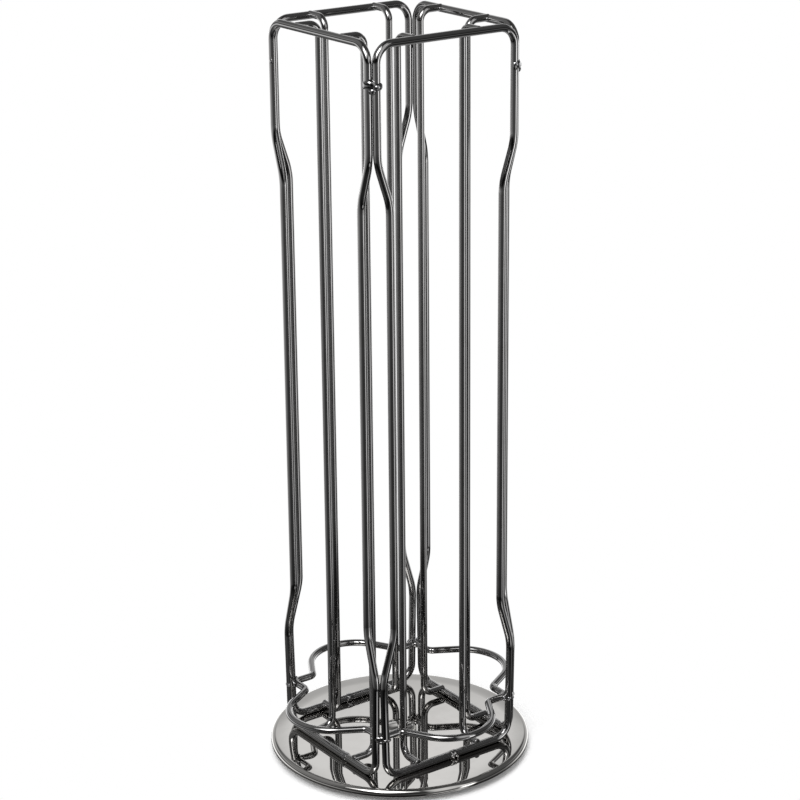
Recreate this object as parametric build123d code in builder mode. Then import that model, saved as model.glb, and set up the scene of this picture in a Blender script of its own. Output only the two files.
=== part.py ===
from build123d import *
import os
from math import cos, radians, sin, sqrt, tan

# Four-bay wire carousel for round capsules, in millimetres.
# +Z is up, the table is z = 0 and the turning axis is the Z axis.

# Wire sizes
frame_wire = 3.2
rod_wire = 3.0
rail_wire = 3.0
weld_gap = 0.05          # hairline between wires that are welded side by side or end on

# Side frame, one closed loop per face, measured between wire centres
bay_half_width = 32.5    # posts at the mouth and the outlet
waist_half_width = 27.0  # posts along the waist, which keeps the capsule rims in
frame_height = 302.2     # bottom bar to top bar
outlet_height = 43.5     # bottom bar to the lower joggle
outlet_rise = 18.8       # height of the lower joggle
mouth_height = 44.8      # upper joggle to the top bar
mouth_rise = 16.5        # height of the upper joggle
frame_corner_bend = 7.0
joggle_bend = 12.0

# Guide rods, two behind each frame
rod_half_spacing = 15.4
slot_depth = 10.4        # frame plane to rod line, the slot that the rims slide in
rod_bend = 4.5
rod_foot_lift = 1.3      # a rod's lower end lies this far above the middle of the bottom bar
rod_head_lift = 0.4      # its upper end lies this far above the middle of the top bar

# Rail, a four-lobed ring that stops the lowest capsule of each bay
rail_height = 19.0       # above the base plate
rail_corner_bend = 3.0
lobe_half_mouth = 22.6   # half the lobe's width where it leaves the face
lobe_reach = 20.0        # how far the lobe bows out
lobe_flank_angle = 60.0
lobe_neck_bend = 3.6

# Weld beads
upper_bead_height = 5.2
rail_bead_height = 4.4
bead_spread = 0.9        # a corner bead is two balls, this far to either side of the groove
bead_crown = 0.55        # how far a corner bead stands out of the two posts
bead_root = 0.3          # depth of the groove between two posts that no weld fills
upper_bead_drop = 15.3   # below the top bar
butt_bead_length = 3.0
butt_bead_crown = 0.35
butt_bead_offset = 2.4   # from the middle of the bottom bar

# Base plate, pressed sheet with a falling margin, rolled edge and skirt
plate_radius = 55.2
plate_sheet = 0.8
plate_flat_radius = 46.5
margin_fall = 0.25
plate_skirt = 3.3
roll_inner_radius = 1.3

# Turntable under the plate
pad_height = 1.0
pad_radius = 5.0
pad_circle_radius = 38.0
pad_count = 4
foot_radius = 45.0
foot_sheet = 0.8
foot_edge_bend = 0.3
race_radius = 33.0
race_width = 6.0
race_thickness = 0.9
race_gap = 1.8
ball_diameter = 2.5
ball_count = 12
ball_play = 0.05
cage_thickness = 0.7
cage_width = 5.0
cage_play = 0.1

# Pivot at the middle
rivet_radius = 2.5
rivet_head_radius = 6.5
rivet_head_height = 1.6
rivet_tail_radius = 4.0
rivet_tail_height = 0.6
sleeve_radius = 3.6
sleeve_fit = 0.02
turning_fit = 0.05
bush_wall = 1.4
bush_flange_radius = 7.5
bush_flange_height = 0.8
washer_radius = 6.8
washer_thickness = 0.6

# Levels, worked out upwards from the table
foot_bottom = pad_height
foot_top = foot_bottom + foot_sheet
lower_race_top = foot_top + race_thickness
ball_level = lower_race_top + race_gap / 2
upper_race_bottom = lower_race_top + race_gap
plate_underside = upper_race_bottom + race_thickness
plate_top = plate_underside + plate_sheet
bar_level = plate_top + frame_wire / 2 + weld_gap
top_bar_level = bar_level + frame_height
rail_level = plate_top + rail_height
upper_bead_level = top_bar_level - upper_bead_drop
washer_bottom = plate_top + weld_gap
sleeve_top = washer_bottom + washer_thickness + turning_fit

# Places, worked out outwards from the axis
post_step = (frame_wire + weld_gap) / sqrt(2)
face_reach = bay_half_width + post_step
rod_reach = face_reach - slot_depth
groove_radius = ball_diameter / 2 + ball_play
bush_radius = sleeve_radius + turning_fit + bush_wall
posts_middle = (bay_half_width + face_reach) / sqrt(2)

# The rail's corner bend touches both posts of the corner
rail_contact = (frame_wire + rail_wire) / 2 + weld_gap + rail_corner_bend
rail_bend_centre = bay_half_width + (post_step - sqrt(2 * rail_contact**2 - post_step**2)) / 2
rail_reach = rail_bend_centre + rail_corner_bend

face_names = ("front", "right", "back", "left")
side_names = {-1: "left", 1: "right"}


def face_turn(face):
    """Angle of a face about the axis: front, right, back and left are a quarter turn apart."""
    return radians(90 * face_names.index(face))


def face_plane(face, level, reach):
    """Upright plane of a face, seen from outside: x to the right, y up, z outward."""
    turn = face_turn(face)
    outward = Vector(sin(turn), -cos(turn), 0)
    across = (cos(turn), sin(turn), 0)
    return Plane(origin=outward * reach + Vector(0, 0, level), x_dir=across, z_dir=outward)


def rod_plane(face, side):
    """Upright plane of a guide rod, square to its face: x outward from the rod line, y up."""
    flat = face_plane(face, bar_level, rod_reach)
    return Plane(origin=flat.from_local_coords((side * rod_half_spacing, 0, 0)),
                 x_dir=flat.z_dir, z_dir=-flat.x_dir)


def save(part, name):
    """Label a finished piece and write it under its node name."""
    part.label = name
    export_step(part, f"parts/{name}.step")


def side_frame(face):
    """One wire loop with a wide mouth, a waist and a wide outlet."""
    outlet_top = outlet_height + outlet_rise
    mouth_bottom = frame_height - mouth_height
    right_half = [
        (bay_half_width, 0),
        (bay_half_width, outlet_height),
        (waist_half_width, outlet_top),
        (waist_half_width, mouth_bottom - mouth_rise),
        (bay_half_width, mouth_bottom),
        (bay_half_width, frame_height),
    ]
    left_half = [(-u, v) for u, v in reversed(right_half)]
    half_radii = [frame_corner_bend] + 4 * [joggle_bend] + [frame_corner_bend]
    with BuildPart() as frame:
        with BuildLine(face_plane(face, bar_level, face_reach)):
            loop = FilletPolyline(*right_half, *left_half, radius=half_radii * 2, close=True)
        with BuildSketch(Plane(origin=loop @ 0, z_dir=loop % 0)):
            Circle(frame_wire / 2)
        sweep(path=loop)
    return frame.part


def guide_rod(face, side):
    """One rod whose ends are bent outward and lie, coped, on the back of the frame's bars."""
    route_plane = rod_plane(face, side)
    head_level = frame_height + rod_head_lift
    with BuildPart() as rod:
        with BuildLine(route_plane):
            route = FilletPolyline(
                (slot_depth, rod_foot_lift),
                (0, rod_foot_lift),
                (0, head_level),
                (slot_depth, head_level),
                radius=rod_bend,
            )
        with BuildSketch(Plane(origin=route @ 0, z_dir=route % 0)):
            Circle(rod_wire / 2)
        sweep(path=route)
        with BuildSketch(route_plane):
            with Locations((slot_depth, 0), (slot_depth, frame_height)):
                Circle(frame_wire / 2 + weld_gap)
        extrude(amount=rod_wire, both=True, mode=Mode.SUBTRACT)
    return rod.part


def corner_beads(level, height):
    """Four beads that fill the outer grooves between neighbouring posts and lap over both."""
    bead_centre = posts_middle + frame_wire / 2 + bead_crown - height / 2
    groove_root = posts_middle + bead_root
    with BuildPart() as beads:
        with Locations((0, 0, level)):
            with PolarLocations(bead_centre, len(face_names), start_angle=45):
                with Locations((0, -bead_spread, 0), (0, bead_spread, 0)):
                    Sphere(height / 2)
        with BuildSketch(Plane.XY.offset(level)):
            for u in (-1, 1):
                for v in (-1, 1):
                    with Locations((u * bay_half_width, v * face_reach), (u * face_reach, v * bay_half_width)):
                        Circle(frame_wire / 2 + weld_gap)
            Rectangle(2 * groove_root, 2 * groove_root, rotation=45)
        extrude(amount=height, both=True, mode=Mode.SUBTRACT)
    return beads.part


def race(bottom):
    """Flat ring with a groove that the balls run in."""
    with BuildPart() as ring_part:
        with BuildSketch(Plane.XZ):
            with Locations((race_radius, bottom)):
                Rectangle(race_width, race_thickness, align=(Align.CENTER, Align.MIN))
            with Locations((race_radius, ball_level)):
                Circle(groove_radius, mode=Mode.SUBTRACT)
        revolve(axis=Axis.Z)
    return ring_part.part


os.makedirs("parts", exist_ok=True)

# Wire tower
for face in face_names:
    save(side_frame(face), f"side_frame_{face}")
    for side, side_name in side_names.items():
        save(guide_rod(face, side), f"guide_rod_{face}_{side_name}")

# Capsule rail: each lobe is two straight flanks and the arc that is tangent to both
lobe_peak = lobe_half_mouth * tan(radians(lobe_flank_angle))
lobe_radius = (lobe_peak - lobe_reach) / (1 / cos(radians(lobe_flank_angle)) - 1)
rail_points = []
for face in face_names:
    flat = face_plane(face, 0, rail_reach)
    for u, n in ((-rail_reach, 0), (-lobe_half_mouth, 0), (0, lobe_peak), (lobe_half_mouth, 0)):
        place = flat.from_local_coords((u, 0, n))
        rail_points.append((place.X, place.Y))
rail_radii = [rail_corner_bend, lobe_neck_bend, lobe_radius, lobe_neck_bend] * len(face_names)
with BuildPart() as capsule_rail:
    with BuildLine(Plane.XY.offset(rail_level)):
        ring = FilletPolyline(*rail_points, radius=rail_radii, close=True)
    with BuildSketch(Plane(origin=ring @ 0, z_dir=ring % 0)):
        Circle(rail_wire / 2)
    sweep(path=ring)
save(capsule_rail.part, "capsule_rail")

# Weld beads
save(corner_beads(upper_bead_level, upper_bead_height), "upper_corner_welds")
save(corner_beads(rail_level, rail_bead_height), "rail_corner_welds")

with BuildPart() as frame_butt_welds:
    for face in face_names:
        bar_plane = face_plane(face, bar_level, face_reach)
        with BuildSketch(bar_plane):
            with Locations((butt_bead_offset, frame_wire / 2 + weld_gap)):
                Ellipse(butt_bead_length / 2, butt_bead_crown)
                Rectangle(
                    butt_bead_length, 2 * butt_bead_crown, align=(Align.CENTER, Align.MAX), mode=Mode.SUBTRACT
                )
        revolve(axis=Axis(bar_plane.origin, bar_plane.x_dir))
    with BuildSketch(Plane.XY.offset(plate_top + weld_gap)):
        Rectangle(2 * plate_radius, 2 * plate_radius)
    extrude(amount=-frame_wire, mode=Mode.SUBTRACT)
save(frame_butt_welds.part, "frame_butt_welds")

# Base plate, hollow underneath
with BuildPart() as base_plate:
    with BuildSketch(Plane.XZ) as plate_section:
        with BuildLine():
            top = Line((0, plate_top), (plate_flat_radius, plate_top))
            margin = TangentArc(top @ 1, (plate_radius, plate_top - margin_fall), tangent=top % 1)
            Polyline(margin @ 1, (plate_radius, plate_top - plate_skirt), (0, plate_top - plate_skirt), top @ 0)
        make_face()
        rim = plate_section.vertices().group_by(Axis.X)[-1].sort_by(Axis.Y)[-1]
        fillet(rim, radius=roll_inner_radius + plate_sheet)
    revolve(axis=Axis.Z)
    offset(amount=-plate_sheet, openings=base_plate.faces().sort_by(Axis.Z)[0])
    with BuildSketch(Plane.XY.offset(plate_top)):
        Circle(bush_radius + weld_gap)
    extrude(amount=-2 * plate_sheet, mode=Mode.SUBTRACT)
save(base_plate.part, "base_plate")

# Foot plate and pads
with BuildPart() as foot_plate:
    with BuildSketch(Plane.XY.offset(foot_bottom)):
        Circle(foot_radius)
        Circle(rivet_radius + sleeve_fit, mode=Mode.SUBTRACT)
    extrude(amount=foot_sheet)
    fillet(foot_plate.edges().filter_by(GeomType.CIRCLE).sort_by(SortBy.RADIUS)[-2:], radius=foot_edge_bend)
save(foot_plate.part, "foot_plate")

with BuildPart() as foot_pads:
    with BuildSketch(Plane.XY):
        with PolarLocations(pad_circle_radius, pad_count, start_angle=45):
            Circle(pad_radius)
    extrude(amount=pad_height)
    chamfer(foot_pads.edges().group_by(Axis.Z)[0], length=pad_height / 4)
save(foot_pads.part, "foot_pads")

# Thrust bearing
save(race(foot_top), "lower_race")
save(race(upper_race_bottom), "upper_race")

with BuildPart() as bearing_balls:
    with Locations((0, 0, ball_level)):
        with PolarLocations(race_radius, ball_count):
            Sphere(ball_diameter / 2)
save(bearing_balls.part, "bearing_balls")

with BuildPart() as ball_cage:
    with BuildSketch(Plane.XY.offset(ball_level)):
        Circle(race_radius + cage_width / 2)
        Circle(race_radius - cage_width / 2, mode=Mode.SUBTRACT)
        with PolarLocations(race_radius, ball_count):
            Circle(ball_diameter / 2 + cage_play, mode=Mode.SUBTRACT)
    extrude(amount=cage_thickness / 2, both=True)
save(ball_cage.part, "ball_cage")

# Pivot: a headed rivet clamps a spacer sleeve to the foot plate, and the base plate turns on the sleeve
with BuildPart() as pivot_rivet:
    with BuildSketch(Plane.XZ):
        with BuildLine():
            shank = Polyline(
                (rivet_head_radius, sleeve_top),
                (rivet_radius, sleeve_top),
                (rivet_radius, foot_bottom),
                (rivet_tail_radius, foot_bottom),
                (rivet_radius, foot_bottom - rivet_tail_height),
                (0, foot_bottom - rivet_tail_height),
                (0, sleeve_top + rivet_head_height),
            )
            TangentArc(shank @ 1, shank @ 0, tangent=(1, 0))
        make_face()
    revolve(axis=Axis.Z)
save(pivot_rivet.part, "pivot_rivet")

with BuildPart() as spacer_sleeve:
    with BuildSketch(Plane.XY.offset(foot_top)):
        Circle(sleeve_radius)
        Circle(rivet_radius + sleeve_fit, mode=Mode.SUBTRACT)
    extrude(amount=sleeve_top - foot_top)
save(spacer_sleeve.part, "spacer_sleeve")

with BuildPart() as pivot_bush:
    with BuildSketch(Plane.XY.offset(plate_underside - bush_flange_height)):
        Circle(bush_flange_radius)
    extrude(amount=bush_flange_height)
    with BuildSketch(Plane.XY.offset(plate_underside)):
        Circle(bush_radius)
    extrude(amount=plate_sheet)
    with BuildSketch(Plane.XY.offset(plate_top)):
        Circle(sleeve_radius + turning_fit)
    extrude(amount=-plate_top, mode=Mode.SUBTRACT)
save(pivot_bush.part, "pivot_bush")

with BuildPart() as thrust_washer:
    with BuildSketch(Plane.XY.offset(washer_bottom)):
        Circle(washer_radius)
        Circle(sleeve_radius + turning_fit, mode=Mode.SUBTRACT)
    extrude(amount=washer_thickness)
save(thrust_washer.part, "thrust_washer")
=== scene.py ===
import math

import bmesh
import bpy
import numpy as np
from mathutils import Matrix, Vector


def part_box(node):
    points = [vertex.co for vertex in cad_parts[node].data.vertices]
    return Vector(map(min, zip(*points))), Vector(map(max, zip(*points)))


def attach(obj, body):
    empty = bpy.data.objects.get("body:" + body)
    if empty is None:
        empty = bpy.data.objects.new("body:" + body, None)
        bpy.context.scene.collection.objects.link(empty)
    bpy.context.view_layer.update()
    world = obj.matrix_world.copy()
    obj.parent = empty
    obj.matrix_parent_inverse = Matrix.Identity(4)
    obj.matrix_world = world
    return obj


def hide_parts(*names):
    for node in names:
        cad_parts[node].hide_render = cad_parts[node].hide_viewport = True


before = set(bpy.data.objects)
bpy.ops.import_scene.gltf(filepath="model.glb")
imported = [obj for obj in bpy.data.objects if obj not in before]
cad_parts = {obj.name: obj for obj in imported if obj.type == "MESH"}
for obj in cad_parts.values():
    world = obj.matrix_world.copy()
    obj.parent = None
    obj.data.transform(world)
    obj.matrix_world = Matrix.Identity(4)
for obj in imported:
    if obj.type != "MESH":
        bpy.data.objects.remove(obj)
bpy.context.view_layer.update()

# Sizes that the frame doesn't tell, in metres
WAIST_HALF_WIDTH = 0.0270
OUTLET_FOOT_HALF_WIDTH = 0.0316     # at the bottom bar; as wide as the bay where the waist begins
OUTLET_HEIGHT = 0.0435
OUTLET_RISE = 0.0188
MOUTH_HEIGHT = 0.0448
MOUTH_RISE = 0.0165
FRAME_CORNER_BEND = 0.007
JOGGLE_BEND = 0.026                 # the slight bends above and below the waist
ROD_BEND = 0.0045
ROD_END_ROUND = 0.0003              # rounding of a rod's cut end
RAIL_CORNER_BEND = 0.003
LOBE_HALF_MOUTH = 0.0226
LOBE_REACH = 0.020
LOBE_FLANK_ANGLE = math.radians(60)
LOBE_NECK_BEND = 0.0036
PLATE_SHEET = 0.0008
PLATE_FLAT_RADIUS = 0.0465
PLATE_HOLE_RADIUS = 0.0051
MARGIN_FALL = 0.00025
ROLL_RADIUS = 0.0021
RIVET_SHANK_RADIUS = 0.0025
RIVET_TAIL_RADIUS = 0.0040
RIVET_TAIL_HEIGHT = 0.0006
RIVET_EDGE = 0.0004                 # rounding of the head's lip, taper of the tail

# Welds, in metres unless called shares; a lump's half sizes are out of the wire, across and up
UPPER_BEAD_CROWNS = (0.0006, -0.0004, 0.0009, 0.0008)     # of the back, left, front and right corner
RAIL_BEAD_CROWNS = (0.0003, 0.0003, 0.0002, 0.0004)
UPPER_BEAD_HEIGHT = 0.0062
RAIL_BEAD_HEIGHT = 0.0038
BEAD_LAP = 0.0020                   # how far a bead goes past the middles of its two posts
BEAD_PUDDLES = ((-0.14, 0.16, 0.84), (0.50, -0.04, 0.60), (0.10, -0.52, 0.54))     # across, up, size: shares
ROD_TACK_HALF_SIZES = (0.00072, 0.00048, 0.0008)
ROD_TACK_ACROSS = 0.95              # from the rod's middle, as a share of its radius
ROD_TACK_RISE = 0.6                 # from the bar's level to the rod end's, as a share
RAIL_TACK_SHARES = (0.7, 1.5, 1.15)     # half sizes, as shares of the rail wire's radius
BUTT_BEAD_OFFSETS = {"front": 0.0024, "right": 0.0024, "back": 0.0024, "left": 0.0098}
BUTT_BEAD_LENGTH = 0.003
BUTT_BEAD_CROWN = 0.0002
BUTT_BEAD_SINK = 0.00003            # how far its edge lies in the wire
BUTT_RIPPLES = ((0.25, 3, 2, 0), (0.2, 5, -3, 1))     # share, waves round, lean along the bar, phase per face
SPATTERED_FACES = ("front", "right", "back")
SPATTER = ((-0.0013, 8), (-0.0006, -28), (0.0003, 30), (0.0008, -12), (0.0016, -36))     # along, degrees up
SPATTER_HALF_SIZES = (0.00044, 0.00055, 0.000495)
LUMP_RIPPLES = ((0.035, 2, 0, 1), (0.025, 3, 3, -2))     # share, waves round, lean in latitude, phases
LUMP_BANDS = (0.015, 5)             # share and waves of the ripple in latitude alone
LUMP_BACK = 0.35                    # depth behind the middle plane, as a share

# Phases that set one lump apart from the next, in radians
BEAD_PHASE, BEAD_PHASE_STEP = 1.0, 1.7
PUDDLE_PHASE, PUDDLE_PHASE_STEP = 2.0, 5
ROD_TACK_PHASE_STEP = 3
RAIL_TACK_PHASE, RAIL_TACK_PHASE_STEP = 0.6, 500
DROP_PHASE_STEP = 0.1

# Steps of the surfaces
WIRE_SIDES = 28
BEND_STEPS, LOBE_STEPS = 13, 25
ROD_END_STEPS = 6
ROD_END_SHARES = (0.5, 0.75, 1.0)     # how far the rings on a rod's cut face are drawn in
LUMP_ROWS, LUMP_COLUMNS = 25, 36
BUTT_ROWS, BUTT_COLUMNS = 15, 40
FLAT_STEPS, MARGIN_STEPS, ROLL_STEPS, HEM_STEPS = 23, 24, 16, 9
DOME_STEPS, LIP_STEPS = 20, 9
PLATE_TURNS, SMALL_TURNS = 256, 96
MERGE_DISTANCE = 1e-7

# Sizes and places read from the frame
front_low, front_high = np.array(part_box("side_frame_front"))
rod_low, rod_high = np.array(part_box("guide_rod_front_right"))
rail_low, rail_high = np.array(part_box("capsule_rail"))
plate_low, plate_high = np.array(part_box("base_plate"))
upper_low, upper_high = np.array(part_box("upper_corner_welds"))
rivet_low, rivet_high = np.array(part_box("pivot_rivet"))
sleeve_top = np.array(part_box("spacer_sleeve"))[1, 2]
frame_radius = (front_high[1] - front_low[1]) / 2
face_reach = -(front_low[1] + front_high[1]) / 2
bay_half_width = front_high[0] - frame_radius
bar_level = front_low[2] + frame_radius
frame_height = front_high[2] - frame_radius - bar_level
rod_radius = (rod_high[0] - rod_low[0]) / 2
rod_half_spacing = (rod_low[0] + rod_high[0]) / 2
rod_reach = rod_radius - rod_high[1]
slot_depth = face_reach - rod_reach
rod_foot = rod_low[2] + rod_radius
rod_head = rod_high[2] - rod_radius
rail_radius = (rail_high[2] - rail_low[2]) / 2
rail_level = (rail_low[2] + rail_high[2]) / 2
rail_reach = -rail_low[1] - rail_radius - LOBE_REACH
outlet_slope = (bay_half_width - OUTLET_FOOT_HALF_WIDTH) / OUTLET_HEIGHT
rail_post_half_width = OUTLET_FOOT_HALF_WIDTH + outlet_slope * (rail_level - bar_level)
upper_bead_level = (upper_low[2] + upper_high[2]) / 2
plate_radius, plate_top, skirt_bottom = plate_high[0], plate_high[2], plate_low[2]

FACES = ("front", "right", "back", "left")
SIDES = {"left": -1, "right": 1}
UP = np.array([0.0, 0.0, 1.0])


# Surfaces

def whole_turn(steps):
    """Angles of evenly spaced points round a circle."""
    return np.linspace(0, 2 * np.pi, steps, endpoint=False)


def face_axes(face):
    """Rows across, up and outward of a face, seen from outside; each face is a quarter turn on."""
    turn = math.pi / 2 * FACES.index(face)
    return np.array([[math.cos(turn), math.sin(turn), 0], UP, [math.sin(turn), -math.cos(turn), 0]])


def unit(vectors):
    """The vectors along the last axis, made one long."""
    return vectors / np.linalg.norm(vectors, axis=-1, keepdims=True)


def rounded_route(corners, bends, steps):
    """Closed plane route whose corners are arcs, as points and directions of shape (corner, step, 2).
    An arc begins its radius times the tangent of half its turn before the corner. After an angle a it
    has gone radius * sin(a) along the first leg and radius * (1 - cos(a)) to the inside."""
    corners = np.asarray(corners, float)
    ahead = unit(np.roll(corners, -1, axis=0) - corners)
    behind = np.roll(ahead, 1, axis=0)
    turn = np.arctan2(behind[:, 0] * ahead[:, 1] - behind[:, 1] * ahead[:, 0], (behind * ahead).sum(1))
    inside = np.stack([-behind[:, 1], behind[:, 0]], 1) * np.sign(turn)[:, None]
    bends = np.asarray(bends, float)[:, None]
    start = corners - behind * bends * np.tan(np.abs(turn) / 2)[:, None]
    angle = np.abs(turn)[:, None, None] * np.linspace(0, 1, steps)[None, :, None]
    behind, inside = behind[:, None], inside[:, None]
    points = start[:, None] + bends[:, None] * (np.sin(angle) * behind + (1 - np.cos(angle)) * inside)
    return points, np.cos(angle) * behind + np.sin(angle) * inside


def wire_rings(points, along, across, radius):
    """Circles round a route: centre plus radius times cos(t) across and sin(t) square to both."""
    turn = whole_turn(WIRE_SIDES)[None, :, None]
    normal = np.cross(along, across)[:, None]
    return points[:, None] + radius * (np.cos(turn) * across + np.sin(turn) * normal)


def side_frame_surface(face):
    """Wire loop with a wide mouth, a waist and a wide outlet, in the plane of its face."""
    right_half = np.array([
        (OUTLET_FOOT_HALF_WIDTH, 0),
        (bay_half_width, OUTLET_HEIGHT),
        (WAIST_HALF_WIDTH, OUTLET_HEIGHT + OUTLET_RISE),
        (WAIST_HALF_WIDTH, frame_height - MOUTH_HEIGHT - MOUTH_RISE),
        (bay_half_width, frame_height - MOUTH_HEIGHT),
        (bay_half_width, frame_height),
    ])
    corners = np.concatenate([right_half, right_half[::-1] * (-1, 1)])
    bends = 2 * ([FRAME_CORNER_BEND] + 4 * [JOGGLE_BEND] + [FRAME_CORNER_BEND])
    points, along = (a.reshape(-1, 2) for a in rounded_route(corners, bends, BEND_STEPS))
    axes = face_axes(face)
    centre = points @ axes[:2] + UP * bar_level + axes[2] * face_reach
    return wire_rings(centre, along @ axes[:2], axes[2], frame_radius)


def guide_rod_surface(face, side):
    """Rod whose ends are bent outward as far as the middle of its frame's bars. A cut end is flat: its
    rings shrink on a quarter circle at the edge and then straight to the middle."""
    corners = [(rod_foot, slot_depth), (rod_foot, 0), (rod_head, 0), (rod_head, slot_depth)]
    route = rounded_route(corners, [0, ROD_BEND, ROD_BEND, 0], BEND_STEPS)
    points, along = (a[1:3].reshape(-1, 2) for a in route)
    turn = np.linspace(0, np.pi / 2, ROD_END_STEPS)
    inset = np.append(ROD_END_ROUND * (1 - np.sin(turn)), np.zeros(len(ROD_END_SHARES)))
    share = 1 - np.append(ROD_END_ROUND * (1 - np.cos(turn)) / rod_radius, ROD_END_SHARES)
    ends = [np.stack([0 * inset + level, slot_depth - inset], -1) for level in (rod_foot, rod_head)]
    heading = np.tile([0.0, 1.0], (len(inset), 1))
    points = np.concatenate([ends[0][::-1], points, ends[1]])
    along = np.concatenate([-heading, along, heading])
    radius = rod_radius * np.concatenate([share[::-1], np.ones(len(points) - 2 * len(inset)), share])
    axes = face_axes(face)
    place = axes[0] * SIDES[side] * rod_half_spacing + axes[2] * rod_reach
    return wire_rings(points @ axes[1:] + place, along @ axes[1:], axes[0], radius[:, None, None])


def rail_surface():
    """Four-lobed ring: a lobe is two straight flanks and the arc that touches both at its reach."""
    peak = LOBE_HALF_MOUTH * math.tan(LOBE_FLANK_ANGLE)
    lobe_radius = (peak - LOBE_REACH) / (1 / math.cos(LOBE_FLANK_ANGLE) - 1)
    side = np.array([(-rail_reach, 0), (-LOBE_HALF_MOUTH, 0), (0, peak), (LOBE_HALF_MOUTH, 0)])
    corners = np.concatenate([
        side[:, :1] * face_axes(f)[0, :2] + (rail_reach + side[:, 1:]) * face_axes(f)[2, :2] for f in FACES
    ])
    bends = len(FACES) * [RAIL_CORNER_BEND, LOBE_NECK_BEND, lobe_radius, LOBE_NECK_BEND]
    points, along = (a.reshape(-1, 2) for a in rounded_route(corners, bends, LOBE_STEPS))
    flat = np.eye(3)[:2]
    return wire_rings(points @ flat + UP * rail_level, along @ flat, UP, rail_radius)


def lump(centre, axes, half_sizes, phase):
    """Weld bead: an ellipsoid on three axes, squashed behind its middle plane, whose radius is rippled
    by a few waves in longitude and latitude as a puddle that set in steps is."""
    latitude = np.linspace(-np.pi / 2, np.pi / 2, LUMP_ROWS)[:, None]
    longitude = whole_turn(LUMP_COLUMNS)[None, :]
    band_share, band_waves = LUMP_BANDS
    swell = 1 + band_share * np.sin(band_waves * latitude + phase)
    for share, waves, lean, phases in LUMP_RIPPLES:
        ripple = np.sin(waves * longitude + lean * latitude + phases * phase)
        swell = swell + share * np.cos(latitude) * ripple
    ball = np.stack(np.broadcast_arrays(np.sin(latitude), np.cos(latitude) * np.cos(longitude),
                                        np.cos(latitude) * np.sin(longitude)), -1)
    depth = np.where(ball[..., :1] > 0, 1, LUMP_BACK)
    reach = ball * np.concatenate([depth, np.ones_like(ball[..., 1:])], -1) * half_sizes
    return centre + (swell[..., None] * reach) @ axes


def rod_tacks(face, side):
    """Two small beads at each end of a rod, in the grooves that it makes with the bar."""
    axes = face_axes(face)
    tack_axes = np.stack([-axes[2], axes[0], UP])
    tacks = []
    for level, bar in ((rod_foot, bar_level), (rod_head, bar_level + frame_height)):
        rise = ROD_TACK_RISE * (level - bar)
        back = math.sqrt(frame_radius**2 - rise**2)
        for flank in (-1, 1):
            across = SIDES[side] * rod_half_spacing + flank * rod_radius * ROD_TACK_ACROSS
            centre = axes[0] * across + axes[2] * (face_reach - back) + UP * (bar + rise)
            phase = flank + ROD_TACK_PHASE_STEP * level / frame_height
            tacks.append(lump(centre, tack_axes, ROD_TACK_HALF_SIZES, phase))
    return tacks


def corner_lumps(level, height, half_width, crowns):
    """One bead in each outer groove between neighbouring posts, lapping over both: a broad low lump
    and, on it, the puddles that it set from."""
    posts_middle = (half_width + face_reach) / math.sqrt(2)
    bead_half_width = (face_reach - half_width) / math.sqrt(2) + BEAD_LAP
    lumps = []
    for corner, crown in enumerate(crowns):
        turn = math.pi / 4 + corner * math.pi / 2
        outward = np.array([math.cos(turn), math.sin(turn), 0])
        axes = np.array([outward, np.cross(UP, outward), UP])
        middle = outward * posts_middle + UP * level
        half = np.array([frame_radius + crown / 2, bead_half_width, height / 2])
        lumps.append(lump(middle, axes, half, BEAD_PHASE + BEAD_PHASE_STEP * corner))
        for across, up, size in BEAD_PUDDLES:
            centre = middle + (np.array([0, across, up]) * half) @ axes
            puddle = np.array([frame_radius + crown, size * half[1], size * half[2]])
            lumps.append(lump(centre, axes, puddle, PUDDLE_PHASE + corner + PUDDLE_PHASE_STEP * across))
    return lumps


def rail_tacks():
    """Small beads where the rail's corner bends touch the two posts of each corner."""
    bend_centre = rail_reach - RAIL_CORNER_BEND
    half_sizes = np.array(RAIL_TACK_SHARES) * rail_radius
    tacks = []
    for corner in range(len(FACES)):
        turn = corner * math.pi / 2
        quarter = np.array([[math.cos(turn), math.sin(turn), 0], [-math.sin(turn), math.cos(turn), 0], UP])
        for post in ((rail_post_half_width, face_reach), (face_reach, rail_post_half_width)):
            outward = unit(np.array([post[0] - bend_centre, post[1] - bend_centre, 0]))
            touch = np.array([post[0], post[1], 0]) - outward * frame_radius
            axes = np.array([outward, np.cross(UP, outward), UP]) @ quarter
            phase = RAIL_TACK_PHASE + corner + RAIL_TACK_PHASE_STEP * post[0]
            tacks.append(lump(touch @ quarter + UP * rail_level, axes, half_sizes, phase))
    return tacks


def butt_bead(face):
    """Raised ring where a frame's wire ends meet: the wire's radius plus a half-wave along the bar,
    with a few waves round it, cut off level with the base plate."""
    along = np.linspace(-1, 1, BUTT_ROWS)[:, None]
    turn = whole_turn(BUTT_COLUMNS)[None, :]
    ripple = 1 + sum(share * np.sin(waves * turn + lean * along + phase * FACES.index(face))
                     for share, waves, lean, phase in BUTT_RIPPLES)
    radius = frame_radius - BUTT_BEAD_SINK + BUTT_BEAD_CROWN * np.sqrt(1 - along**2) * ripple
    across = BUTT_BEAD_OFFSETS[face] + along * BUTT_BEAD_LENGTH / 2 + 0 * turn
    height = np.maximum(radius * np.sin(turn), plate_top - bar_level)
    rows = np.stack([across, height, face_reach + radius * np.cos(turn)], -1)
    ends = np.broadcast_to(rows[[0, -1]].mean(1, keepdims=True), (2, *rows.shape[1:]))
    return np.concatenate([ends[:1], rows, ends[1:]]) @ face_axes(face) + UP * bar_level


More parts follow.
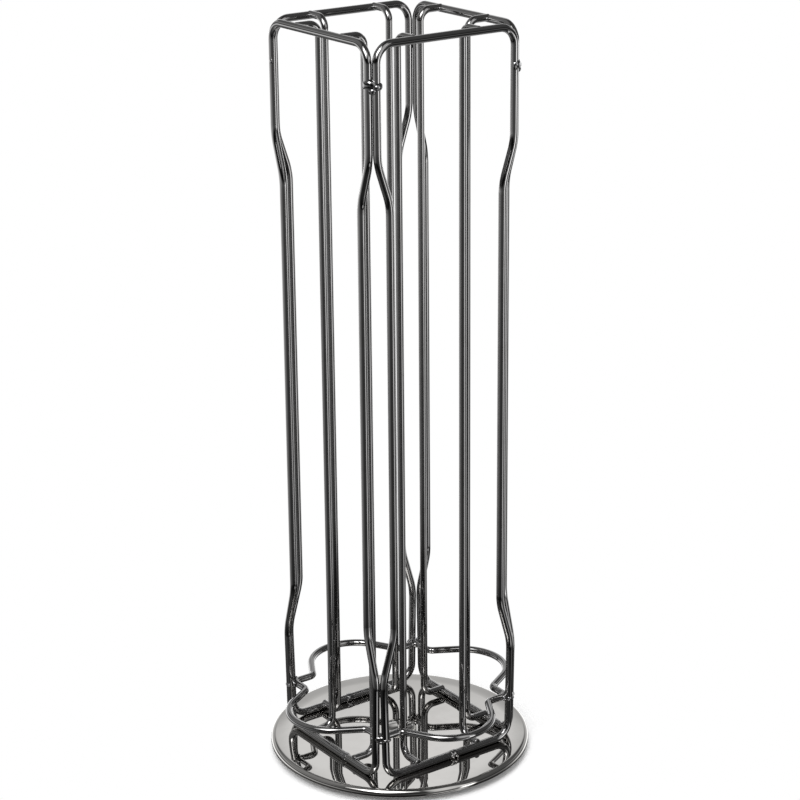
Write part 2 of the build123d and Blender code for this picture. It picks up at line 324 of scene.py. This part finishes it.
def butt_spatter(face):
    """Small round drops of bare steel on the outer side of a frame's butt weld."""
    axes = face_axes(face)
    drops = []
    for along, angle in SPATTER:
        tilt = math.radians(angle)
        outward = axes[2] * math.cos(tilt) + UP * math.sin(tilt)
        seat = axes[0] * (BUTT_BEAD_OFFSETS[face] + along) + axes[2] * face_reach + UP * bar_level
        drop_axes = np.stack([outward, axes[0], np.cross(outward, axes[0])])
        centre = seat + outward * frame_radius
        drops.append(lump(centre, drop_axes, SPATTER_HALF_SIZES, DROP_PHASE_STEP * angle))
    return drops


def arc(centre, radius, start, stop, steps):
    """Points of an arc and the directions out of its centre; angles are from up towards outward."""
    angle = np.linspace(start, stop, steps)
    out = np.stack([np.sin(angle), np.cos(angle)], -1)
    return np.asarray(centre) + radius * out, out


def lathe(profile, turns):
    """Profile of (radius, height) points carried round the Z axis."""
    angle = whole_turn(turns)
    radius = profile[:, None, 0]
    return np.stack([radius * np.cos(angle), radius * np.sin(angle), profile[:, None, 1] + 0 * angle], -1)


def base_plate_surface():
    """Pressed sheet: a flat, a margin that falls away on a wide arc, a rolled edge and a skirt.
    The roll touches the margin from inside, so their centres are the difference of their radii apart.
    The inner wall is the outer one moved in by the sheet along its own directions."""
    width = plate_radius - PLATE_FLAT_RADIUS
    margin_radius = (width**2 + MARGIN_FALL**2) / (2 * MARGIN_FALL)
    gap = margin_radius - ROLL_RADIUS
    meet = math.asin((width - ROLL_RADIUS) / gap)
    margin_centre = (PLATE_FLAT_RADIUS, plate_top - margin_radius)
    roll_centre = (plate_radius - ROLL_RADIUS, margin_centre[1] + gap * math.cos(meet))
    hem_centre = (plate_radius - PLATE_SHEET / 2, skirt_bottom + PLATE_SHEET / 2)
    flat_radii = np.linspace(PLATE_HOLE_RADIUS, PLATE_FLAT_RADIUS, FLAT_STEPS, endpoint=False)
    flat = np.stack([flat_radii, 0 * flat_radii + plate_top], -1)
    margin, margin_out = arc(margin_centre, margin_radius, 0, meet, MARGIN_STEPS)
    roll, roll_out = arc(roll_centre, ROLL_RADIUS, meet, math.pi / 2, ROLL_STEPS)
    hem = arc(hem_centre, PLATE_SHEET / 2, math.pi / 2, 3 * math.pi / 2, HEM_STEPS)[0]
    wall = np.concatenate([flat, margin, roll])
    out = np.concatenate([np.tile([0.0, 1.0], (FLAT_STEPS, 1)), margin_out, roll_out])
    return lathe(np.concatenate([wall, hem, (wall - PLATE_SHEET * out)[::-1]]), PLATE_TURNS)


def rivet_surface():
    """Headed rivet: a shallow domed head with a rounded lip, a shank and a spread tail."""
    head_radius, head_top, tail_bottom = rivet_high[0], rivet_high[2], rivet_low[2]
    tail_top = tail_bottom + RIVET_TAIL_HEIGHT
    dome_width, dome_height = head_radius - RIVET_EDGE, head_top - sleeve_top - RIVET_EDGE
    dome_radius = (dome_width**2 + dome_height**2) / (2 * dome_height)
    edge = math.asin(dome_width / dome_radius)
    dome = arc((0, head_top - dome_radius), dome_radius, 0, edge, DOME_STEPS)[0]
    lip = arc((dome_width, sleeve_top + RIVET_EDGE), RIVET_EDGE, edge, math.pi, LIP_STEPS)[0]
    shank = [(RIVET_SHANK_RADIUS, sleeve_top), (RIVET_SHANK_RADIUS, tail_top), (RIVET_TAIL_RADIUS, tail_top),
             (RIVET_TAIL_RADIUS - RIVET_EDGE, tail_bottom), (0, tail_bottom)]
    return lathe(np.concatenate([dome, lip, shank]), SMALL_TURNS)


# Pieces

def add_object(name, data):
    """New object at the origin, in the scene."""
    made = bpy.data.objects.new(name, data)
    bpy.context.scene.collection.objects.link(made)
    return made


def build(name, body, grids, material, stands_for, loop=False):
    """One object from grids of points: quads join the rows and columns, columns close on themselves,
    rows too if the grid is a loop. Rows drawn to a point are merged there."""
    verts, quads, count = [], [], 0
    for grid in grids:
        rows, columns = grid.shape[:2]
        index = np.arange(rows * columns).reshape(rows, columns) + count
        right, below = np.roll(index, -1, axis=1), np.roll(index, -1, axis=0)
        corner = np.roll(below, -1, axis=1)
        joined = np.stack([index, right, corner, below], -1)[: rows if loop else rows - 1]
        quads.append(joined.reshape(-1, 4))
        verts.append(grid.reshape(-1, 3))
        count += rows * columns
    mesh = bpy.data.meshes.new(name)
    mesh.from_pydata(np.concatenate(verts).tolist(), [], np.concatenate(quads).tolist())
    shell = bmesh.new()
    shell.from_mesh(mesh)
    bmesh.ops.remove_doubles(shell, verts=shell.verts, dist=MERGE_DISTANCE)
    bmesh.ops.recalc_face_normals(shell, faces=shell.faces)
    shell.to_mesh(mesh)
    shell.free()
    mesh.shade_smooth()
    mesh.materials.append(material)
    piece = add_object(name, mesh)
    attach(piece, body)
    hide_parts(*stands_for)


# Materials; noise scales are per metre, bump heights in metres

def add(tree, kind, settings=None, **inputs):
    """New node: settings are its properties; an input is a constant or another node's output."""
    made = tree.nodes.new(kind)
    for key, value in (settings or {}).items():
        setattr(made, key, value)
    for key, value in inputs.items():
        socket = made.inputs[int(key[1:])] if key[0] == "_" else made.inputs[key.replace("_", " ")]
        if isinstance(value, bpy.types.NodeSocket):
            tree.links.new(value, socket)
        else:
            socket.default_value = value
    return made


def calculate(tree, operation, *values):
    """Output of a maths node on constants or other nodes' outputs."""
    inputs = {f"_{i}": value for i, value in enumerate(values)}
    return add(tree, "ShaderNodeMath", {"operation": operation}, **inputs).outputs[0]


def blend(tree, factor, first, second):
    """Colour between two others."""
    mixed = add(tree, "ShaderNodeMix", {"data_type": "RGBA"}, Factor=factor, A=first, B=second)
    return mixed.outputs["Result"]


def ramp(tree, factor, stops, interpolation="LINEAR"):
    """Colour ramp of grey levels, as (position, level) stops."""
    made = add(tree, "ShaderNodeValToRGB", Fac=factor)
    made.color_ramp.interpolation = interpolation
    for i, (position, level) in enumerate(stops):
        elements = made.color_ramp.elements
        element = elements[i] if i < 2 else elements.new(position)
        element.position, element.color = position, (level, level, level, 1)
    return made.outputs["Color"]


def plated_surface():
    """Node group of plated, polished steel. Slow waves bend its reflections a little, finger marks and
    wiping dull it in patches, and the plating's tone shifts with them."""
    group = bpy.data.node_groups.new("plated_surface", "ShaderNodeTree")
    number, colour, vector = "NodeSocketFloat", "NodeSocketColor", "NodeSocketVector"
    taken = {"Wave Height": number, "Wave Scale": number, "Roughness": number, "Marks": number,
             "Bright Tone": colour, "Dull Tone": colour}
    for name, kind in taken.items():
        group.interface.new_socket(name, in_out="INPUT", socket_type=kind)
    for name, kind in {"Color": colour, "Roughness": number, "Normal": vector}.items():
        group.interface.new_socket(name, in_out="OUTPUT", socket_type=kind)
    given = add(group, "NodeGroupInput").outputs
    place = add(group, "ShaderNodeTexCoord").outputs["Object"]
    waves = add(group, "ShaderNodeTexNoise", Vector=place, Scale=given["Wave Scale"], Detail=2.0,
                Roughness=0.4)
    bump = add(group, "ShaderNodeBump", Height=waves.outputs["Fac"], Distance=given["Wave Height"],
               Strength=1.0)
    smears = add(group, "ShaderNodeTexNoise", Vector=place, Scale=90.0, Detail=5.0, Roughness=0.62,
                 Distortion=0.8)
    dull = ramp(group, smears.outputs["Fac"], [(0.42, 0.0), (0.72, 1.0)], "EASE")
    add(group, "NodeGroupOutput", Color=blend(group, dull, given["Bright Tone"], given["Dull Tone"]),
        Roughness=calculate(group, "MULTIPLY_ADD", dull, given["Marks"], given["Roughness"]),
        Normal=bump.outputs["Normal"])
    return group


def new_material(name):
    """Material with a Principled shader; gives the material, its tree and the shader."""
    material = bpy.data.materials.new(name)
    material.use_nodes = True
    tree = material.node_tree
    return material, tree, tree.nodes["Principled BSDF"]


def feed(tree, shader, **outputs):
    """Links nodes' outputs to the shader's inputs."""
    for name, output in outputs.items():
        tree.links.new(output, shader.inputs[name.replace("_", " ")])


def plated(name, bright, dull, roughness, marks, wave_height, wave_scale):
    """Metal with the plated surface's tone, dulling and waves."""
    material, tree, shader = new_material(name)
    surface = add(tree, "ShaderNodeGroup", {"node_tree": plated_group}, Wave_Height=wave_height,
                  Wave_Scale=wave_scale, Roughness=roughness, Marks=marks,
                  Bright_Tone=(*bright, 1), Dull_Tone=(*dull, 1)).outputs
    shader.inputs["Metallic"].default_value = 1.0
    feed(tree, shader, Base_Color=surface["Color"], Roughness=surface["Roughness"], Normal=surface["Normal"])
    return material


def zinc(name, pale, deep):
    """Bright zinc plate: rolled streaks under pale crystals, half matt."""
    material, tree, shader = new_material(name)
    place = add(tree, "ShaderNodeTexCoord").outputs["Object"]
    crystals = add(tree, "ShaderNodeTexVoronoi", Vector=place, Scale=420.0)
    streaks = add(tree, "ShaderNodeMapping", Vector=place, Scale=(40.0, 900.0, 900.0))
    rolled = add(tree, "ShaderNodeTexNoise", Vector=streaks.outputs["Vector"], Scale=1.0, Detail=3.0)
    bump = add(tree, "ShaderNodeBump", Height=rolled.outputs["Fac"], Distance=0.000006, Strength=1.0)
    shader.inputs["Metallic"].default_value = 1.0
    feed(tree, shader, Base_Color=blend(tree, crystals.outputs["Color"], (*deep, 1), (*pale, 1)),
         Roughness=ramp(tree, rolled.outputs["Fac"], [(0.3, 0.28), (0.7, 0.46)]),
         Normal=bump.outputs["Normal"])
    return material


def moulded(name, pale, deep, roughness, grain_scale, grain_height, roughness_spread=0.06):
    """Moulded plastic or rubber: a faint mottle in two tones and a fine tool grain."""
    material, tree, shader = new_material(name)
    place = add(tree, "ShaderNodeTexCoord").outputs["Object"]
    mottle = add(tree, "ShaderNodeTexNoise", Vector=place, Scale=180.0, Detail=4.0)
    grain = add(tree, "ShaderNodeTexNoise", Vector=place, Scale=grain_scale, Detail=3.0)
    bump = add(tree, "ShaderNodeBump", Height=grain.outputs["Fac"], Distance=grain_height, Strength=1.0)
    stops = [(0.3, roughness - roughness_spread), (0.7, roughness + roughness_spread)]
    feed(tree, shader, Base_Color=blend(tree, mottle.outputs["Fac"], (*deep, 1), (*pale, 1)),
         Roughness=ramp(tree, grain.outputs["Fac"], stops), Normal=bump.outputs["Normal"])
    return material


plated_group = plated_surface()
wire_metal = plated("dark_chrome_wire", bright=(0.34, 0.337, 0.336), dull=(0.31, 0.306, 0.302),
                    roughness=0.025, marks=0.02, wave_height=0.00002, wave_scale=70.0)
weld_metal = plated("dark_chrome_weld", bright=(0.30, 0.30, 0.305), dull=(0.22, 0.215, 0.21),
                    roughness=0.06, marks=0.06, wave_height=0.00003, wave_scale=500.0)
spatter_metal = plated("bare_spatter", bright=(0.86, 0.85, 0.84), dull=(0.62, 0.61, 0.60),
                       roughness=0.28, marks=0.15, wave_height=0.00003, wave_scale=700.0)
plate_metal = plated("polished_plate", bright=(0.555, 0.545, 0.528), dull=(0.525, 0.514, 0.498),
                     roughness=0.02, marks=0.02, wave_height=0.000012, wave_scale=45.0)
zinc_metal = zinc("bright_zinc", pale=(0.68, 0.69, 0.70), deep=(0.56, 0.57, 0.58))
nylon = moulded("natural_nylon", pale=(0.86, 0.85, 0.81), deep=(0.80, 0.79, 0.74),
                roughness=0.45, grain_scale=1500.0, grain_height=0.00001)
rubber = moulded("pad_rubber", pale=(0.055, 0.055, 0.056), deep=(0.03, 0.03, 0.031),
                 roughness=0.8, grain_scale=2200.0, grain_height=0.00003)

for face in FACES:
    build(f"frame_wire_{face}", "carousel", [side_frame_surface(face)], wire_metal,
          [f"side_frame_{face}"], loop=True)
    for side in SIDES:
        build(f"rod_wire_{face}_{side}", "carousel", [guide_rod_surface(face, side)], wire_metal,
              [f"guide_rod_{face}_{side}"])
end_tacks = [tack for face in FACES for side in SIDES for tack in rod_tacks(face, side)]
upper_lumps = corner_lumps(upper_bead_level, UPPER_BEAD_HEIGHT, bay_half_width, UPPER_BEAD_CROWNS)
rail_lumps = corner_lumps(rail_level, RAIL_BEAD_HEIGHT, rail_post_half_width, RAIL_BEAD_CROWNS)
butt_beads = [butt_bead(face) for face in FACES]
drops = [drop for face in SPATTERED_FACES for drop in butt_spatter(face)]
build("rod_end_tacks", "carousel", end_tacks, weld_metal, [])
build("rail_wire", "carousel", [rail_surface()], wire_metal, ["capsule_rail"], loop=True)
build("upper_weld_beads", "carousel", upper_lumps, weld_metal, ["upper_corner_welds"])
build("rail_weld_beads", "carousel", rail_lumps + rail_tacks(), weld_metal,
      ["rail_corner_welds"])
build("butt_weld_beads", "carousel", butt_beads, weld_metal, ["frame_butt_welds"])
build("butt_weld_spatter", "carousel", drops, spatter_metal, [])
build("mirror_plate", "carousel", [base_plate_surface()], plate_metal, ["base_plate"],
      loop=True)
build("rivet", "foot", [rivet_surface()], plate_metal, ["pivot_rivet"])

# These pieces keep the frame's own meshes
ZINC_NODES = ("foot_plate", "lower_race", "upper_race", "bearing_balls", "spacer_sleeve")
NYLON_NODES = ("ball_cage", "pivot_bush", "thrust_washer")
for material, nodes in ((zinc_metal, ZINC_NODES), (nylon, NYLON_NODES), (rubber, ("foot_pads",))):
    for node in nodes:
        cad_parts[node].data.materials.clear()
        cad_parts[node].data.materials.append(material)


# Camera, placed as the photograph's was; angles in degrees, sensor and lens in millimetres
CAMERA_PLACE = (-0.51815, -0.72793, 0.46560)
CAMERA_HEADING = -35.535     # from +Y towards +X is negative
CAMERA_PITCH = -19.137
CAMERA_ROLL = -0.530
CAMERA_LENS = 104.13
CAMERA_SENSOR = 36
CAMERA_CLIP = (0.01, 50)

heading, pitch, roll = (math.radians(a) for a in (CAMERA_HEADING, CAMERA_PITCH, CAMERA_ROLL))
forward = np.array([-math.sin(heading) * math.cos(pitch), math.cos(heading) * math.cos(pitch),
                    math.sin(pitch)])
level_right = np.array([math.cos(heading), math.sin(heading), 0])
level_up = np.cross(level_right, forward)
camera_axes = np.stack([
    math.cos(roll) * level_right + math.sin(roll) * level_up,
    math.cos(roll) * level_up - math.sin(roll) * level_right,
    -forward,
])


def standing(place, axes):
    """Matrix of something at a place with the given rows as its X, Y and Z axes."""
    return Matrix.Translation(place) @ Matrix(axes.T.tolist()).to_4x4()


camera = add_object("camera", bpy.data.cameras.new("camera"))
camera.data.sensor_width, camera.data.lens = CAMERA_SENSOR, CAMERA_LENS
camera.data.clip_start, camera.data.clip_end = CAMERA_CLIP
camera.matrix_world = standing(CAMERA_PLACE, camera_axes)
bpy.context.scene.camera = camera


# Studio: what mirrors see round the object. A layer is a ramp of (degrees right of straight behind,
# brightness) times a ramp of (degrees above the horizon, share).
TABLE_RING = (
    (-180, 0.10), (-150, 0.16), (-120, 0.50), (-91, 0.67), (-71, 1.2), (-52, 1.6), (0, 1.68), (45, 1.6),
    (62, 0.88), (80, 0.27), (112, 0.19), (116, 3.5), (125, 3.5), (129, 0.26), (150, 0.18), (180, 0.10),
)
TABLE_HEIGHT = (
    (-90, 0.40), (-50, 0.40), (-36, 0.20), (-30, 0.06), (-27, 0.07), (-25, 0.10), (-24.3, 0.27),
    (-23.7, 0.48), (-22.2, 0.57), (-20, 0.59), (-17, 0.71), (-14, 0.90), (-11.5, 1.08), (-9, 1.3), (-6, 0.8),
    (-2, 0.075), (6, 0.075), (12, 0.25), (19, 0.31), (24, 0.12), (28, 0.0), (90, 0.0),
)
ROOM_RING = (
    (-180, 0.08), (-135, 0.10), (-110, 0.28), (-60, 0.33), (-40, 0.26), (-20, 0.12), (20, 0.10), (60, 0.12),
    (135, 0.12), (180, 0.08),
)
ROOM_HEIGHT = ((-90, 0.0), (8, 0.0), (25, 0.6), (35, 1.0), (60, 1.0), (75, 0.6), (90, 0.4))
BACKDROP_RING = (
    (-180, 0.0), (-52, 0.0), (-36, 0.7), (-15, 0.95), (-5, 0.9), (2, 1.1), (15, 1.0), (36, 0.7), (52, 0.0),
    (180, 0.0),
)
BACKDROP_HEIGHT = (
    (-90, 0.0), (-12, 0.0), (-3, 0.95), (5, 0.95), (9, 0.45), (14, 0.22), (19, 0.1), (24, 0.0), (90, 0.0),
)
SHEEN_RING = (
    (-180, 0.0), (-22, 0.0), (-14, 0.5), (-8, 0.7), (-5, 0.9), (-3, 1.05), (2, 1.1), (5, 0.8), (9, 0.68),
    (14, 0.5), (22, 0.0), (180, 0.0),
)
SHEEN_HEIGHT = (
    (-90, 0.0), (19, 0.0), (22, 0.22), (25, 0.42), (26, 0.58), (26.8, 0.82), (27.5, 0.93), (38, 0.93),
    (46, 0.0), (90, 0.0),
)
STREAK_RING = ((-180, 0.0), (118, 0.0), (126, 0.8), (140, 1.0), (150, 0.8), (158, 0.0), (180, 0.0))
STREAK_HEIGHT = (
    (-90, 0.0), (-33, 0.0), (-31, 1.0), (-28, 1.0), (-27, 0.0), (-4, 0.0), (4, 0.9), (50, 0.9), (60, 0.0),
    (90, 0.0),
)
STUDIO_LAYERS = ((TABLE_RING, TABLE_HEIGHT), (ROOM_RING, ROOM_HEIGHT), (BACKDROP_RING, BACKDROP_HEIGHT),
                 (SHEEN_RING, SHEEN_HEIGHT), (STREAK_RING, STREAK_HEIGHT))
RING_PEAK = 3.5              # brightness that the top of a ramp stands for

# Lamps: place and size in metres, power in watts, whether polished metal shows it
LAMPS = {
    "overhead_fill": ((0.0, 0.0, 1.5), 1.2, 16.0, False),
    "front_left_box": ((-0.75, -0.55, 1.05), 1.0, 6.3, True),
    "front_left_core": ((-0.74, -0.54, 1.03), 0.58, 6.2, True),
}
LAMP_TARGET = (0, 0, 0.12)
LAMP_SIDE_GUIDE = (0.1, 1, 0.2)     # a direction that no lamp faces

FLOOR_RADII = (0, 0.15, 0.30, 0.60)
FLOOR_LEVEL = -0.00005
FLOOR_FADE_START, FLOOR_FADE_END = 0.047, 0.072
FLOOR_TONE = (0.95, 0.95, 0.95, 1)
FLOOR_ROUGHNESS = 0.9


def studio_world():
    """White behind for the camera. Mirrors see a lit table below the horizon with one narrow strip light,
    a dim room above it that is lighter on the left, a white backdrop behind the object, a lamp's sheen on
    it and a light streak at the front right."""
    world = bpy.data.worlds.new("studio")
    bpy.context.scene.world = world
    world.use_nodes = True
    tree = world.node_tree
    tree.nodes.clear()
    view = add(tree, "ShaderNodeTexCoord").outputs["Generated"]
    turned = add(tree, "ShaderNodeVectorRotate", {"rotation_type": "Z_AXIS"}, Vector=view,
                 Angle=-math.pi / 2 - heading)
    parts = add(tree, "ShaderNodeSeparateXYZ", Vector=turned.outputs["Vector"]).outputs
    around = add(tree, "ShaderNodeMapRange", Value=calculate(tree, "ARCTAN2", parts["Y"], parts["X"]),
                 From_Min=math.pi, From_Max=-math.pi)
    upward = add(tree, "ShaderNodeMapRange", Value=calculate(tree, "ARCSINE", parts["Z"]),
                 From_Min=-math.pi / 2, From_Max=math.pi / 2)
    total = 0.0
    for ring_stops, height_stops in STUDIO_LAYERS:
        ring = ramp(tree, around.outputs["Result"], [((d + 180) / 360, b / RING_PEAK) for d, b in ring_stops])
        rise = ramp(tree, upward.outputs["Result"], [((d + 90) / 180, b) for d, b in height_stops])
        total = calculate(tree, "ADD", total, calculate(tree, "MULTIPLY", ring, rise))
    seen = add(tree, "ShaderNodeBackground", Color=total, Strength=RING_PEAK)
    white = add(tree, "ShaderNodeBackground", Color=(1, 1, 1, 1), Strength=1.0)
    path = add(tree, "ShaderNodeLightPath").outputs["Is Camera Ray"]
    mix = add(tree, "ShaderNodeMixShader", Fac=path, _1=seen.outputs[0], _2=white.outputs[0])
    add(tree, "ShaderNodeOutputWorld", Surface=mix.outputs[0])


def soft_box(name, place, size, power, mirrored):
    """Square area lamp that faces the target; mirrored says whether polished metal shows it."""
    lamp = add_object(name, bpy.data.lights.new(name, "AREA"))
    lamp.data.shape, lamp.data.size, lamp.data.energy = "SQUARE", size, power
    back = unit(np.array(place) - np.array(LAMP_TARGET))
    side = unit(np.cross(LAMP_SIDE_GUIDE, back))
    lamp.matrix_world = standing(place, np.stack([side, np.cross(back, side), back]))
    lamp.visible_glossy = mirrored


def floor():
    """Pale round floor that fades to the white background and isn't seen from below."""
    grid = lathe(np.array([(radius, FLOOR_LEVEL) for radius in FLOOR_RADII]), SMALL_TURNS)
    rows, columns = grid.shape[:2]
    index = np.arange(rows * columns).reshape(rows, columns)
    right = np.roll(index, -1, axis=1)
    quads = np.stack([index[:-1], index[1:], right[1:], right[:-1]], -1).reshape(-1, 4)
    mesh = bpy.data.meshes.new("floor")
    mesh.from_pydata(grid.reshape(-1, 3).tolist(), [], quads.tolist())
    material, tree, shader = new_material("pale_floor")
    shader.inputs["Base Color"].default_value = FLOOR_TONE
    shader.inputs["Roughness"].default_value = FLOOR_ROUGHNESS
    shader.inputs["Specular IOR Level"].default_value = 0.0
    place = add(tree, "ShaderNodeTexCoord").outputs["Object"]
    distance = add(tree, "ShaderNodeVectorMath", {"operation": "LENGTH"}, _0=place).outputs["Value"]
    fade = add(tree, "ShaderNodeMapRange", {"interpolation_type": "SMOOTHSTEP"}, Value=distance,
               From_Min=FLOOR_FADE_START, From_Max=FLOOR_FADE_END, To_Min=1.0, To_Max=0.0).outputs["Result"]
    above = calculate(tree, "SUBTRACT", 1.0, add(tree, "ShaderNodeNewGeometry").outputs["Backfacing"])
    feed(tree, shader, Alpha=calculate(tree, "MULTIPLY", fade, above))
    mesh.materials.append(material)
    piece = add_object("floor", mesh)
    piece.visible_glossy = False


studio_world()
for name, (place, size, power, mirrored) in LAMPS.items():
    soft_box(name, place, size, power, mirrored)
floor()

bpy.context.scene.view_settings.view_transform = "Standard"
